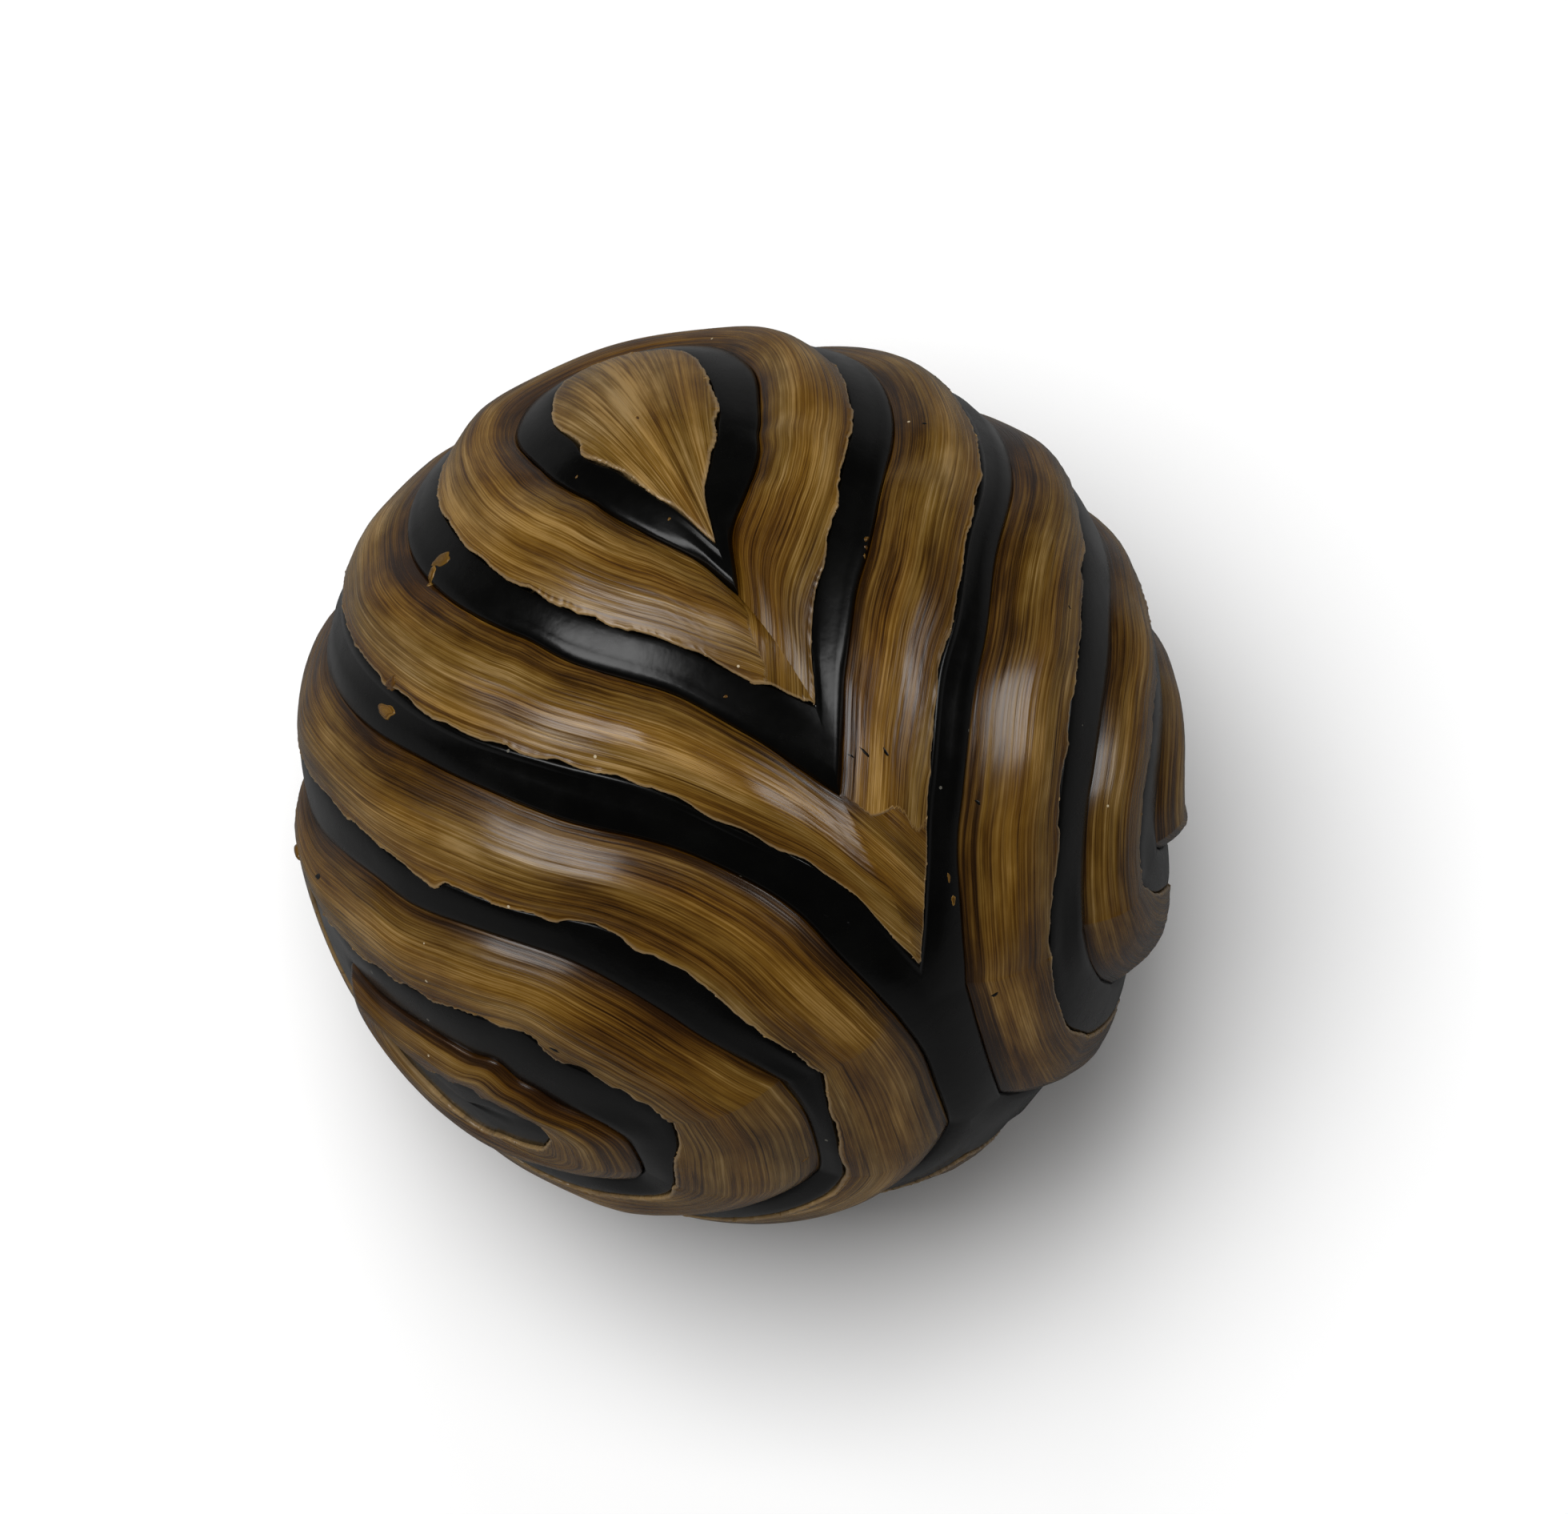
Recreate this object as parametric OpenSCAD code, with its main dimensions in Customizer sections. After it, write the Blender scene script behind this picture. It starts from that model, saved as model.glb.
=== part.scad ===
// Decorative ball: a smooth black body with thick wood-effect bands let into recesses in its surface.
// The surface is divided into four cells. Each cell has a focus, and its bands run round the focus one outside
// another. The black ridges between the bands belong to the body.
// Millimetres, centre of the ball at the origin, +Z up.

/* [Ball] */
// Diameter over the crests of the bands
ball_d = 92; // [80:1:110]

/* [Relief] */
// Depth of the grooves at the smooth edge of each band, below the crests
groove_drop = 1.6; // [1.2:0.1:2]
// Height of a band's ragged lip above the black ridge beside it
lip_step = 0.25; // [0.1:0.05:0.5]
// Depth of the seats the bands lie in, below the crests
seat_drop = 3.2; // [3:0.1:6]
// Depth of the shallow dip where the crown, left and right cells meet
dip_drop = 1; // [0:0.1:1]

/* [Colours] */
// Colour of the smooth body
body_colour = [0.03, 0.03, 0.035];
// Colour of the wood-effect bands
band_colour = [0.42, 0.27, 0.12];

/* [Hidden] */

ball_r = ball_d / 2;

// ---- directions from the centre, angles in degrees ----
function toward(lon, lat) = [cos(lat) * cos(lon), cos(lat) * sin(lon), sin(lat)];
function unit(v) = v / norm(v);
// A cell's axes: its focus, the direction of bearing 0 and the direction of bearing 90.
function axes(focus, ref) =
    let (t = unit(ref - (ref * focus) * focus))
    [focus, t, cross(focus, t)];
function spot(ax, bearing, angle) =
    cos(angle) * ax[0] + sin(angle) * (cos(bearing) * ax[1] + sin(bearing) * ax[2]);
function bearing_of(ax, p) = atan2(p * ax[2], p * ax[1]);
function angle_of(ax, p) = acos(max(-1, min(1, p * ax[0])));
function between(a, b, w) = a + (b - a) * w;
function backward(list) = [for (i = [len(list) - 1 : -1 : 0]) list[i]];
function but_last(list) = [for (i = [0 : len(list) - 2]) list[i]];

// ---- the shape of each cell: bearing, then the angle from the focus to each edge, the last being the cell's border ----
CROWN = [
    [-180, 22, 30, 43, 50, 63, 67],
    [-150, 14.5, 22.5, 34.5, 42, 57, 61],
    [-120, 9, 15.5, 29.5, 37, 50, 54.5],
    [-90, 8, 13, 27, 34, 47, 51],
    [-60, 8, 13, 28, 34, 48, 51],
    [-45, 8.5, 14.5, 30, 36.5, 49.5, 53],
    [-30, 10.5, 17, 33, 39.5, 53, 57],
    [-20, 12.5, 19.5, 36, 43, 59, 62.5],
    [-10, 16, 23, 42, 50, 67, 72.5],
    [-5, 19, 26, 45, 55, 74, 82.5],
    [0, 24, 31.5, 49, 61, 86, 93],
    [5, 18, 25, 41.5, 53, 74, 81],
    [10, 15, 22, 37.5, 47, 65, 70.5],
    [20, 13, 19.5, 33, 40, 54.5, 59],
    [30, 11.5, 18, 30, 36.5, 50, 53.5],
    [45, 10.5, 16.5, 27.5, 33.5, 45.5, 48.5],
    [60, 10, 15.5, 27, 33, 45, 48],
    [90, 10.5, 17, 29, 36, 46.5, 51],
    [120, 14, 23, 34.5, 43, 55, 59],
    [150, 22, 32, 44, 51, 64, 68],
    [180, 22, 30, 43, 50, 63, 67]];
LEFT = [
    [-180, 8, 19, 27, 41, 49, 66, 71],
    [-150, 6.5, 16, 23, 34, 41, 54, 59],
    [-120, 6, 14, 20, 30, 36.5, 47, 51.5],
    [-90, 6, 13.5, 19.5, 29.5, 35.5, 46, 50.5],
    [-60, 6.5, 16.5, 22.5, 34, 40, 51, 55.5],
    [-40, 9.5, 23, 27.5, 43, 47, 61, 63.5],
    [-30, 11.5, 24, 28.5, 46.5, 49.5, 64, 66.5],
    [-20, 13, 24.5, 30, 48.5, 51.5, 66, 68.8],
    [-10, 14, 24, 32, 49, 52.5, 66.6, 69.5],
    [0, 13.5, 21.5, 33, 48.5, 54.2, 66, 70.3],
    [10, 11, 18, 32, 46, 52.5, 66.2, 70],
    [20, 9, 16.3, 28.8, 43.5, 51, 65.8, 69.3],
    [30, 7.5, 14.5, 26, 41.5, 49.5, 64.5, 67.5],
    [45, 7, 14, 24.8, 38.2, 46, 59.5, 63],
    [60, 6, 12, 22, 35.2, 41.2, 54.8, 59],
    [90, 5, 12, 20.5, 32.5, 39, 52.8, 55.8],
    [105, 5.8, 13, 21.5, 34.5, 41.5, 53.8, 57.5],
    [120, 6.2, 15, 24, 38, 46.5, 59.2, 64],
    [135, 8, 18.5, 29.5, 43.5, 53.5, 68.5, 75],
    [150, 14, 24, 36, 53, 62, 80, 86],
    [180, 8, 19, 27, 41, 49, 66, 71]];
RIGHT = [
    [-180, 11, 23, 31, 46, 53, 66, 71],
    [-150, 9, 21, 29, 43, 51, 65, 71],
    [-120, 6.5, 16, 23, 32, 41, 53, 58],
    [-90, 5.5, 14.5, 23, 30.5, 40, 50.5, 54],
    [-75, 6, 14.5, 23, 32, 41, 53.7, 56.6],
    [-60, 7, 15.5, 24, 34.5, 43.8, 58.2, 61.3],
    [-45, 8, 17.5, 27.2, 38.7, 48, 63.3, 66.7],
    [-30, 10, 21, 31, 42.7, 51.5, 66.4, 69.6],
    [-20, 12, 24, 34, 45.5, 53.2, 68, 71],
    [-10, 13.5, 26, 35.5, 46.5, 54.8, 67.7, 72],
    [0, 14, 26, 35, 46.5, 55, 67, 73.4],
    [10, 12.5, 22, 30.5, 45.5, 54.3, 65.7, 71.5],
    [20, 10.5, 18, 25.5, 42.5, 51.5, 63.5, 69],
    [30, 9, 15.5, 22, 38, 46, 60, 65.5],
    [45, 7.5, 14, 20, 32.5, 38.5, 51.5, 57],
    [60, 6.5, 12.5, 18.5, 28.5, 34.5, 47.5, 52],
    [90, 6, 12.5, 18.5, 28, 33.5, 45, 49.5],
    [120, 6.5, 15, 21, 31, 37.5, 49, 53.5],
    [150, 9, 20, 27, 40, 47, 60, 65],
    [180, 11, 23, 31, 46, 53, 66, 71]];
// The base follows its neighbours' borders, each edge a share of the way out, rounder towards the middle.
BASE_SHARES = [0, 0.26, 0.37, 0.58, 0.69, 0.92, 1];
// How far the tips of the crown's edges lean round the focus.
CROWN_LEAN = [0, -3, -3.5, 0, -2, 0, 0];
NO_LEAN = [0, 0, 0, 0, 0, 0, 0, 0];

// Value of a column at any bearing: a smooth curve through the rows, with a corner at bearing 0.
function row_at(rows, t, k = 0) =
    k >= len(rows) - 2 || t < rows[k + 1][0] ? k : row_at(rows, t, k + 1);
function rise(rows, c, i, j) = (rows[j][c] - rows[i][c]) / (rows[j][0] - rows[i][0]);
function slope(rows, c, k, after) =
    let (n = len(rows))
    rows[k][0] == 0 ? (after ? rise(rows, c, k, k + 1) : rise(rows, c, k - 1, k)) :
    k == 0 || k == n - 1 ? (rows[1][c] - rows[n - 2][c]) / (rows[1][0] - rows[n - 2][0] + 360) :
    rise(rows, c, k - 1, k + 1);
function value(rows, c, bearing) =
    let (t = bearing - 360 * floor((bearing + 180) / 360),
         k = row_at(rows, t),
         h = rows[k + 1][0] - rows[k][0],
         u = (t - rows[k][0]) / h,
         u2 = u * u,
         u3 = u2 * u)
    (2 * u3 - 3 * u2 + 1) * rows[k][c]
    + (u3 - 2 * u2 + u) * h * slope(rows, c, k, true)
    + (3 * u2 - 2 * u3) * rows[k + 1][c]
    + (u3 - u2) * h * slope(rows, c, k + 1, false);

// ---- foci, and the borders between the cells ----
crown_ax = axes(toward(110, 50), toward(-58, 37));

// Part of the crown's border, with the points packed closer at its tip.
function crown_border(from, to, n, packing) =
    [for (i = [0 : n])
        let (t = between(from, to, pow(i / n, packing)))
        spot(crown_ax, t, value(CROWN, 6, t))];
tip_left = crown_border(0, -150, 22, 1.6);
tip_right = crown_border(0, 140, 20, 1.6);
back_run = crown_border(-150, -220, 7, 1);
tip = tip_left[0];
left_corner = tip_left[22];
right_corner = tip_right[20];
front_corner = toward(-58, 7);
left_ax = axes(toward(-128, 6), tip);
right_ax = axes(toward(7, -5), tip);
base_ax = axes(toward(150, -80), front_corner);

// Border of the left or right cell from one corner to another, turning backwards for turn = -1.
function side_border(ax, rows, start, end, turn, n) =
    let (from = bearing_of(ax, start),
         b = bearing_of(ax, end),
         to = turn < 0 && b > from ? b - 360 : turn > 0 && b < from ? b + 360 : b,
         first = angle_of(ax, start) / value(rows, 7, from),
         last = angle_of(ax, end) / value(rows, 7, to))
    [for (i = [0 : n])
        let (w = pow(i / n, 1.3),
             t = between(from, to, w))
        spot(ax, t, value(rows, 7, t) * between(first, last, w))];
left_under = side_border(left_ax, LEFT, front_corner, left_corner, -1, 18);
right_under = side_border(right_ax, RIGHT, front_corner, right_corner, 1, 18);
short_run = [for (i = [0 : 4]) unit(between(tip, front_corner, i / 4))];

// ---- the border as one list of points, and each cell's way round it (as positions in that list) ----
function inner(list) = [for (i = [1 : len(list) - 2]) list[i]];
border = concat([tip, front_corner, left_corner, right_corner],
                inner(tip_left), inner(tip_right), inner(back_run),
                inner(short_run), inner(left_under), inner(right_under));
function run(from, start, count, to) = concat([from], [for (i = [0 : count - 1]) start + i], [to]);
TL = run(0, 4, 21, 2);
TR = run(0, 25, 19, 3);
BR = run(2, 44, 6, 3);
SR = run(0, 50, 3, 1);
LU = run(1, 53, 17, 2);
RU = run(1, 70, 17, 3);
crown_round = concat(but_last(TR), but_last(backward(BR)), but_last(backward(TL)));
left_round = concat(but_last(TL), but_last(backward(LU)), but_last(backward(SR)));
right_round = concat(but_last(SR), but_last(RU), but_last(backward(TR)));
base_round = concat(but_last(LU), but_last(BR), but_last(backward(RU)));

// Angles of every edge at every step round the cell; row 0 is the focus itself.
function table_edges(ax, rows, way) =
    let (last = len(rows[0]) - 1,
         t = [for (i = way) bearing_of(ax, border[i])],
         f = [for (k = [0 : len(way) - 1]) angle_of(ax, border[way[k]]) / value(rows, last, t[k])])
    [for (c = [0 : last]) [for (k = [0 : len(way) - 1]) c == 0 ? 0 : value(rows, c, t[k]) * f[k]]];
function share_edges(ax, shares, way) =
    [for (s = shares) [for (i = way)
        let (far = angle_of(ax, border[i]))
        s * far * pow(47 / far, (1 - s) * 0.8)]];
function make_cell(ax, way, edges, lean) =
    [ax, way, edges, lean, [for (i = way) bearing_of(ax, border[i])]];
crown_cell = make_cell(crown_ax, crown_round, table_edges(crown_ax, CROWN, crown_round), CROWN_LEAN);
left_cell = make_cell(left_ax, left_round, table_edges(left_ax, LEFT, left_round), NO_LEAN);
right_cell = make_cell(right_ax, right_round, table_edges(right_ax, RIGHT, right_round), NO_LEAN);
base_cell = make_cell(base_ax, base_round, share_edges(base_ax, BASE_SHARES, base_round), NO_LEAN);

// ---- heights, as drops below the crests ----
lip = 0.15;
ridge = lip + lip_step;
ridge_middle = between(ridge, groove_drop, 0.38);
border_drop = between(ridge, groove_drop, 0.5);
band_foot = groove_drop - 0.2;
dip_at = toward(-58, 22);
function dip(p) = dip_drop * exp(-pow(acos(max(-1, min(1, p * dip_at))) / 16, 2));

// One row of points: q counts edges out from the focus, 1.5 being halfway between edges 1 and 2.
function direction_at(cell, q, k) =
    let (e = min(floor(q), len(cell[2]) - 2),
         w = q - e,
         angle = between(cell[2][e][k], cell[2][e + 1][k], w),
         lean = between(cell[3][e], cell[3][e + 1], w) * max(0, 1 - abs(cell[4][k]) / 60))
    spot(cell[0], cell[4][k] + lean, angle);
function top_point(p, drop) = p * (ball_r - drop - dip(p));
function top_row(cell, q, drop) =
    [for (k = [0 : len(cell[1]) - 1]) top_point(direction_at(cell, q, k), drop)];
function seat_row(cell, q) =
    [for (k = [0 : len(cell[1]) - 1]) direction_at(cell, q, k) * (ball_r - seat_drop)];

// ---- faces between two rows of n points, given the position of each row's points in the solid's list ----
function strip(a, b) =
    let (n = len(a))
    [for (i = [0 : n - 1])
        let (j = (i + 1) % n)
        each [[a[i], a[j], b[j]], [a[i], b[j], b[i]]]];
function strip_other_way(a, b) =
    let (n = len(a))
    [for (i = [0 : n - 1])
        let (j = (i + 1) % n)
        each [[a[i], a[j], b[i]], [a[j], b[j], b[i]]]];
function fan(centre, a) =
    let (n = len(a))
    [for (i = [0 : n - 1]) [centre, a[(i + 1) % n], a[i]]];
function fan_below(centre, a) =
    let (n = len(a))
    [for (i = [0 : n - 1]) [centre, a[i], a[(i + 1) % n]]];
function positions(start, n) = [for (i = [0 : n - 1]) start + i];

// ---- the body: each cell is a list of rows, a negative drop meaning a row of the seat ----
IN_SEAT = -1;
POINTED_ROWS = [
    [0.5, IN_SEAT], [1, IN_SEAT], [1, ridge], [1.5, ridge_middle],
    [2, groove_drop], [2, IN_SEAT], [2.5, IN_SEAT], [3, IN_SEAT], [3, ridge], [3.5, ridge_middle],
    [4, groove_drop], [4, IN_SEAT], [4.5, IN_SEAT], [5, IN_SEAT], [5, ridge]];
EYE_ROWS = [
    [0.5, ridge], [1, ridge], [1, IN_SEAT], [1.5, IN_SEAT],
    [2, IN_SEAT], [2, groove_drop], [2.5, ridge_middle], [3, ridge], [3, IN_SEAT], [3.5, IN_SEAT],
    [4, IN_SEAT], [4, groove_drop], [4.5, ridge_middle], [5, ridge], [5, IN_SEAT], [5.5, IN_SEAT],
    [6, IN_SEAT], [6, groove_drop]];
function body_row(cell, row) = row[1] < 0 ? seat_row(cell, row[0]) : top_row(cell, row[0], row[1]);
// Points of one cell: the focus, then its rows.
function body_points(cell, rows, focus_drop) =
    concat([focus_drop < 0 ? cell[0][0] * (ball_r - seat_drop) : top_point(cell[0][0], focus_drop)],
           [for (row = rows) each body_row(cell, row)]);
function body_faces(cell, rows, start) =
    let (n = len(cell[1]),
         at = [for (r = [0 : len(rows) - 1]) positions(start + 1 + r * n, n)])
    concat(fan(start, at[0]),
           [for (r = [0 : len(rows) - 2]) each strip(at[r], at[r + 1])],
           strip(at[len(rows) - 1], cell[1]));

module ball_body() {
    border_points = [for (p = border) top_point(p, border_drop)];
    a = body_points(crown_cell, POINTED_ROWS, IN_SEAT);
    b = body_points(left_cell, EYE_ROWS, ridge + 0.1);
    c = body_points(right_cell, EYE_ROWS, ridge + 0.1);
    d = body_points(base_cell, POINTED_ROWS, IN_SEAT);
    sa = len(border_points);
    sb = sa + len(a);
    sc = sb + len(b);
    sd = sc + len(c);
    color(body_colour)
    polyhedron(points = concat(border_points, a, b, c, d),
               faces = concat(body_faces(crown_cell, POINTED_ROWS, sa),
                              body_faces(left_cell, EYE_ROWS, sb),
                              body_faces(right_cell, EYE_ROWS, sc),
                              body_faces(base_cell, POINTED_ROWS, sd)),
               convexity = 6);
}

// ---- the bands: foot in the groove, crest past the middle, then the ragged lip ----
SECTION = [[0, band_foot], [0.25, groove_drop * 0.38], [0.6, 0.05], [0.8, 0], [1, lip]];
// A ring from edge e to edge e + 1, with its lip on the outer edge or, for lip_out = false, the inner one.
module band(cell, e, lip_out) {
    section = lip_out ? SECTION : backward([for (s = SECTION) [1 - s[0], s[1]]]);
    n = len(cell[1]);
    points = concat([for (s = section) each top_row(cell, e + s[0], s[1])],
                    seat_row(cell, e + 1), seat_row(cell, e + 0.5), seat_row(cell, e));
    at = [for (r = [0 : 7]) positions(r * n, n)];
    color(band_colour)
    polyhedron(points = points,
               faces = concat([for (r = [0 : 4]) each strip(at[r], at[r + 1])],
                              [for (r = [5, 6]) each strip_other_way(at[r], at[r + 1])],
                              strip(at[7], at[0])),
               convexity = 6);
}

// The patch in the middle of a pointed cell.
module heart(cell) {
    n = len(cell[1]);
    points = concat([top_point(cell[0][0], 0)],
                    top_row(cell, 0.4, 0), top_row(cell, 0.8, 0), top_row(cell, 1, lip),
                    seat_row(cell, 1), seat_row(cell, 0.5),
                    [cell[0][0] * (ball_r - seat_drop)]);
    at = [for (r = [0 : 4]) positions(1 + r * n, n)];
    color(band_colour)
    polyhedron(points = points,
               faces = concat(fan(0, at[0]),
                              strip(at[0], at[1]), strip(at[1], at[2]), strip(at[2], at[3]),
                              strip_other_way(at[3], at[4]),
                              fan_below(1 + 5 * n, at[4])),
               convexity = 6);
}

module crown_heart() { heart(crown_cell); }
module crown_inner_band() { band(crown_cell, 2, true); }
module crown_outer_band() { band(crown_cell, 4, true); }
module left_inner_band() { band(left_cell, 1, false); }
module left_middle_band() { band(left_cell, 3, false); }
module left_outer_band() { band(left_cell, 5, false); }
module right_inner_band() { band(right_cell, 1, false); }
module right_middle_band() { band(right_cell, 3, false); }
module right_outer_band() { band(right_cell, 5, false); }
module base_heart() { heart(base_cell); }
module base_inner_band() { band(base_cell, 2, true); }
module base_outer_band() { band(base_cell, 4, true); }

ball_body();
crown_heart();
crown_inner_band();
crown_outer_band();
left_inner_band();
left_middle_band();
left_outer_band();
right_inner_band();
right_middle_band();
right_outer_band();
base_heart();
base_inner_band();
base_outer_band();
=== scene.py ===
import math

import bpy
import numpy as np
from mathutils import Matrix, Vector


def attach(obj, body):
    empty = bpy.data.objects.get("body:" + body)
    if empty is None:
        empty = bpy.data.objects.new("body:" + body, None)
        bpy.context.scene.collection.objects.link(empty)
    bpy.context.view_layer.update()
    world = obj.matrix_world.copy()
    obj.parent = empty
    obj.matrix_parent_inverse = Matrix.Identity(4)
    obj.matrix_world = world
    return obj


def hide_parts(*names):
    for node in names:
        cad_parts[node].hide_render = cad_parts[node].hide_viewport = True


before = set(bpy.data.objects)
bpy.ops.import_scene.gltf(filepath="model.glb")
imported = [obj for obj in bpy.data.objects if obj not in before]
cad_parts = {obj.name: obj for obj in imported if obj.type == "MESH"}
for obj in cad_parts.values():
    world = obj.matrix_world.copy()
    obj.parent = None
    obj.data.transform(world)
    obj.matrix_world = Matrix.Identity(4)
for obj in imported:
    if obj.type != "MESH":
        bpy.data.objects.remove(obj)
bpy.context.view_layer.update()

MM = 0.001
BALL_R = 46.0  # millimetres over the crests
FINE = 14  # how many times finer the bands are than the CAD model's
BODY_FINE = 6  # the same for the black body, which is smoother


# ---------------------------------------------------------------- outlines
# Directions are unit vectors from the centre of the ball. Angles are in degrees, lengths in millimetres.
def toward(lon, lat):
    a, b = math.radians(lon), math.radians(lat)
    return np.array([math.cos(b) * math.cos(a), math.cos(b) * math.sin(a), math.sin(b)])


def unit(v):
    return v / np.linalg.norm(v, axis=-1, keepdims=True)


def axes(focus, ref):
    t = unit(ref - np.dot(ref, focus) * focus)
    return np.array([focus, t, np.cross(focus, t)])


def spot(ax, bearing, angle):
    t, a = np.radians(bearing)[..., None], np.radians(angle)[..., None]
    return np.cos(a) * ax[0] + np.sin(a) * (np.cos(t) * ax[1] + np.sin(t) * ax[2])


def bearing_of(ax, p):
    return np.degrees(np.arctan2(p @ ax[2], p @ ax[1]))


def angle_of(ax, p):
    return np.degrees(np.arccos(np.clip(p @ ax[0], -1, 1)))


# Each row: bearing round the focus, then the angle out to each edge, the last being the cell's border.
CROWN = np.array([
    [-180, 22, 30, 43, 50, 63, 67], [-150, 14.5, 22.5, 34.5, 42, 57, 61], [-120, 9, 15.5, 29.5, 37, 50, 54.5],
    [-90, 8, 13, 27, 34, 47, 51], [-60, 8, 13, 28, 34, 48, 51], [-45, 8.5, 14.5, 30, 36.5, 49.5, 53],
    [-30, 10.5, 17, 33, 39.5, 53, 57], [-20, 12.5, 19.5, 36, 43, 59, 62.5], [-10, 16, 23, 42, 50, 67, 72.5],
    [-5, 19, 26, 45, 55, 74, 82.5], [0, 24, 31.5, 49, 61, 86, 93], [5, 18, 25, 41.5, 53, 74, 81],
    [10, 15, 22, 37.5, 47, 65, 70.5], [20, 13, 19.5, 33, 40, 54.5, 59], [30, 11.5, 18, 30, 36.5, 50, 53.5],
    [45, 10.5, 16.5, 27.5, 33.5, 45.5, 48.5], [60, 10, 15.5, 27, 33, 45, 48], [90, 10.5, 17, 29, 36, 46.5, 51],
    [120, 14, 23, 34.5, 43, 55, 59], [150, 22, 32, 44, 51, 64, 68], [180, 22, 30, 43, 50, 63, 67]])
LEFT = np.array([
    [-180, 8, 19, 27, 41, 49, 66, 71], [-150, 6.5, 16, 23, 34, 41, 54, 59], [-120, 6, 14, 20, 30, 36.5, 47, 51.5],
    [-90, 6, 13.5, 19.5, 29.5, 35.5, 46, 50.5], [-60, 6.5, 16.5, 22.5, 34, 40, 51, 55.5],
    [-40, 9.5, 23, 27.5, 43, 47, 61, 63.5], [-30, 11.5, 24, 28.5, 46.5, 49.5, 64, 66.5],
    [-20, 13, 24.5, 30, 48.5, 51.5, 66, 68.8], [-10, 14, 24, 32, 49, 52.5, 66.6, 69.5],
    [0, 13.5, 21.5, 33, 48.5, 54.2, 66, 70.3], [10, 11, 18, 32, 46, 52.5, 66.2, 70],
    [20, 9, 16.3, 28.8, 43.5, 51, 65.8, 69.3], [30, 7.5, 14.5, 26, 41.5, 49.5, 64.5, 67.5],
    [45, 7, 14, 24.8, 38.2, 46, 59.5, 63], [60, 6, 12, 22, 35.2, 41.2, 54.8, 59],
    [90, 5, 12, 20.5, 32.5, 39, 52.8, 55.8], [105, 5.8, 13, 21.5, 34.5, 41.5, 53.8, 57.5],
    [120, 6.2, 15, 24, 38, 46.5, 59.2, 64],
    [135, 8, 18.5, 29.5, 43.5, 53.5, 68.5, 75], [150, 14, 24, 36, 53, 62, 80, 86], [180, 8, 19, 27, 41, 49, 66, 71]])
RIGHT = np.array([
    [-180, 11, 23, 31, 46, 53, 66, 71], [-150, 9, 21, 29, 43, 51, 65, 71], [-120, 6.5, 16, 23, 32, 41, 53, 58],
    [-90, 5.5, 14.5, 23, 30.5, 40, 50.5, 54], [-75, 6, 14.5, 23, 32, 41, 53.7, 56.6],
    [-60, 7, 15.5, 24, 34.5, 43.8, 58.2, 61.3], [-45, 8, 17.5, 27.2, 38.7, 48, 63.3, 66.7],
    [-30, 10, 21, 31, 42.7, 51.5, 66.4, 69.6], [-20, 12, 24, 34, 45.5, 53.2, 68, 71],
    [-10, 13.5, 26, 35.5, 46.5, 54.8, 67.7, 72], [0, 14, 26, 35, 46.5, 55, 67, 73.4],
    [10, 12.5, 22, 30.5, 45.5, 54.3, 65.7, 71.5], [20, 10.5, 18, 25.5, 42.5, 51.5, 63.5, 69],
    [30, 9, 15.5, 22, 38, 46, 60, 65.5], [45, 7.5, 14, 20, 32.5, 38.5, 51.5, 57],
    [60, 6.5, 12.5, 18.5, 28.5, 34.5, 47.5, 52], [90, 6, 12.5, 18.5, 28, 33.5, 45, 49.5],
    [120, 6.5, 15, 21, 31, 37.5, 49, 53.5], [150, 9, 20, 27, 40, 47, 60, 65], [180, 11, 23, 31, 46, 53, 66, 71]])
CROWN_LEAN = [0, -3, -3.5, 0, -2, 0, 0]  # how far each edge's tip is turned round the focus
BASE_SHARES = [0, 0.26, 0.37, 0.58, 0.69, 0.92, 1]  # of the way out to the base cell's border
BASE_ANGLE = 47  # about how far the border is, so that the inner edges come out rounder than it is
LEAN_FADES_BY = 60


def value(rows, column, bearing):
    """A smooth curve through a column of the rows, with a corner at bearing 0."""
    x, y = rows[:, 0], rows[:, column]
    n = len(x)
    before = np.empty(n)
    before[1:-1] = (y[2:] - y[:-2]) / (x[2:] - x[:-2])
    before[0] = before[-1] = (y[1] - y[-2]) / (x[1] - x[-2] + 360)
    after = before.copy()
    tip = int(np.flatnonzero(x == 0)[0])
    before[tip] = (y[tip] - y[tip - 1]) / (x[tip] - x[tip - 1])
    after[tip] = (y[tip + 1] - y[tip]) / (x[tip + 1] - x[tip])
    t = (np.asarray(bearing, float) + 180) % 360 - 180
    k = np.clip(np.searchsorted(x, t, side="right") - 1, 0, n - 2)
    h = x[k + 1] - x[k]
    u = (t - x[k]) / h
    return (
        (2 * u**3 - 3 * u**2 + 1) * y[k]
        + (u**3 - 2 * u**2 + u) * h * after[k]
        + (3 * u**2 - 2 * u**3) * y[k + 1]
        + (u**3 - u**2) * h * before[k + 1]
    )


def rounded(ring, reach):
    """Values round a closed ring, each the mean of those within reach of it."""
    wide = np.concatenate([ring[-reach:], ring, ring[:reach]])
    return np.convolve(wide, np.ones(2 * reach + 1) / (2 * reach + 1), "valid")


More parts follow.
